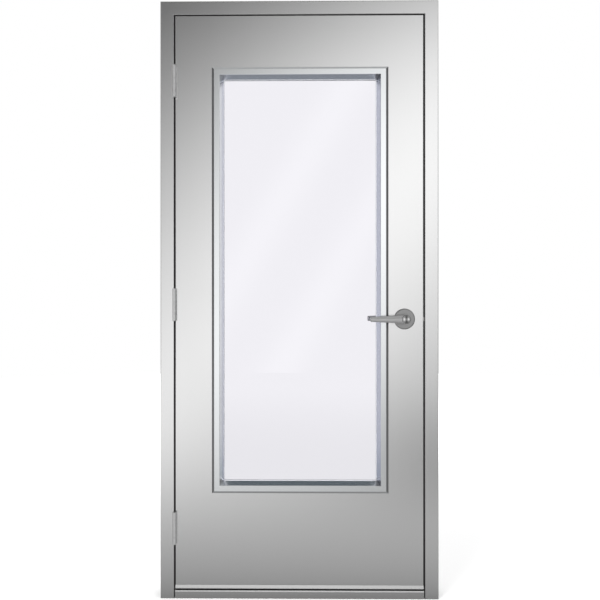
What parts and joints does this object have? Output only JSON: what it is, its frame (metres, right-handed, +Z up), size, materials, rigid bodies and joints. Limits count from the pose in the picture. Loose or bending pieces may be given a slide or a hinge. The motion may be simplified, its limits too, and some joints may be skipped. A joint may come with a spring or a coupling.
{
  "type": "stainless steel door",
  "caption": "Glazed stainless steel door leaf with a raised lite frame, hung on butt hinges in a folded steel frame with threshold, lever lock and seals.",
  "frame": {"origin": "on the floor, midway between the jambs and midway through the frame's depth", "axes": "+X from the hinges to the lock, +Y through the wall away from the pull side, +Z up"},
  "size_m": [1.016, 0.212, 2.1844],
  "materials": {
    "frame_steel": "satin stainless steel, brushed along each member",
    "leaf_steel": "satin stainless steel, brushed upright",
    "trim_steel": "polished stainless steel, slightly cool",
    "hinge_steel": "satin stainless steel",
    "lever_steel": "satin chromium plate",
    "lock_steel": "satin chromium plate",
    "screw_steel": "stainless steel",
    "plated_steel": "zinc plated steel",
    "primed_steel": "grey primer on steel",
    "black_rubber": "matt black rubber",
    "pale_tape": "pale grey glazing tape",
    "clear_glass": "clear safety glass",
    "core_foam": "rigid foam"
  },
  "bodies": {
    "frame": {"hinge_jamb": "frame_steel", "strike_jamb": "frame_steel", "head_member": "frame_steel", "threshold": "frame_steel", "threshold_screws": "screw_steel", "hinge_floor_clip": "plated_steel", "strike_floor_clip": "plated_steel", "hinge_side_seal": "black_rubber", "strike_side_seal": "black_rubber", "head_seal": "black_rubber", "strike_plate": "lock_steel", "strike_box": "plated_steel", "strike_reinforcement": "primed_steel", "strike_screws": "screw_steel", "jamb_hinge_reinforcements": "primed_steel", "jamb_hinge_screws": "screw_steel", "top_hinge_jamb_leaf": "hinge_steel", "middle_hinge_jamb_leaf": "hinge_steel", "bottom_hinge_jamb_leaf": "hinge_steel", "top_hinge_pin": "hinge_steel", "middle_hinge_pin": "hinge_steel", "bottom_hinge_pin": "hinge_steel", "hinge_bearings": "hinge_steel"},
    "leaf": {"top_hinge_door_leaf": "hinge_steel", "middle_hinge_door_leaf": "hinge_steel", "bottom_hinge_door_leaf": "hinge_steel", "door_hinge_reinforcements": "primed_steel", "door_hinge_screws": "screw_steel", "front_skin": "leaf_steel", "rear_skin": "leaf_steel", "top_channel": "leaf_steel", "bottom_channel": "plated_steel", "door_core": "core_foam", "bottom_shoe": "leaf_steel", "bottom_seal": "black_rubber", "shoe_screws": "screw_steel", "lite_opening_liner": "plated_steel", "front_lite_frame": "trim_steel", "rear_lite_frame": "trim_steel", "lite_frame_screws": "screw_steel", "glass_pane": "clear_glass", "front_glazing_tape": "pale_tape", "rear_glazing_tape": "pale_tape", "setting_blocks": "black_rubber", "lock_chassis": "plated_steel", "lock_mount_plate": "plated_steel", "through_bolts": "screw_steel", "outside_rose": "lever_steel", "inside_rose": "lever_steel", "lock_reinforcement": "primed_steel", "latch_tube": "plated_steel", "latch_faceplate": "lock_steel", "faceplate_screws": "screw_steel"},
    "lever_set": {"outside_lever": "lever_steel", "inside_lever": "lever_steel", "lock_spindle": "plated_steel"},
    "key_plug": {"key_plug": "lock_steel"},
    "latch": {"latch_bolt": "lock_steel"}
  },
  "joints": [
    {"name": "leaf_swing", "type": "hinge", "parent": "frame", "child": "leaf", "pos_m": [-0.4552, -0.084, 1.0743], "axis": [0, 0, -1], "range_deg": [0, 175]},
    {"name": "lever_turn", "type": "hinge", "parent": "leaf", "child": "lever_set", "pos_m": [0.38335, -0.05078, 1.022], "axis": [0, -1, 0], "range_deg": [0, 45], "stiffness_Nm_per_rad": 1.5, "springref_deg": -28.65},
    {"name": "latch_slide", "type": "slide", "parent": "leaf", "child": "latch", "axis": [-1, 0, 0], "range_m": [0, 0.0127]},
    {"name": "key_turn", "type": "hinge", "parent": "lever_set", "child": "key_plug", "pos_m": [0.38335, -0.126, 1.022], "axis": [0, -1, 0], "range_deg": [0, 90]}
  ],
  "couplings": [
    {"joint": "latch_slide", "follows": "lever_turn", "m_per_rad": 0.01615}
  ]
}
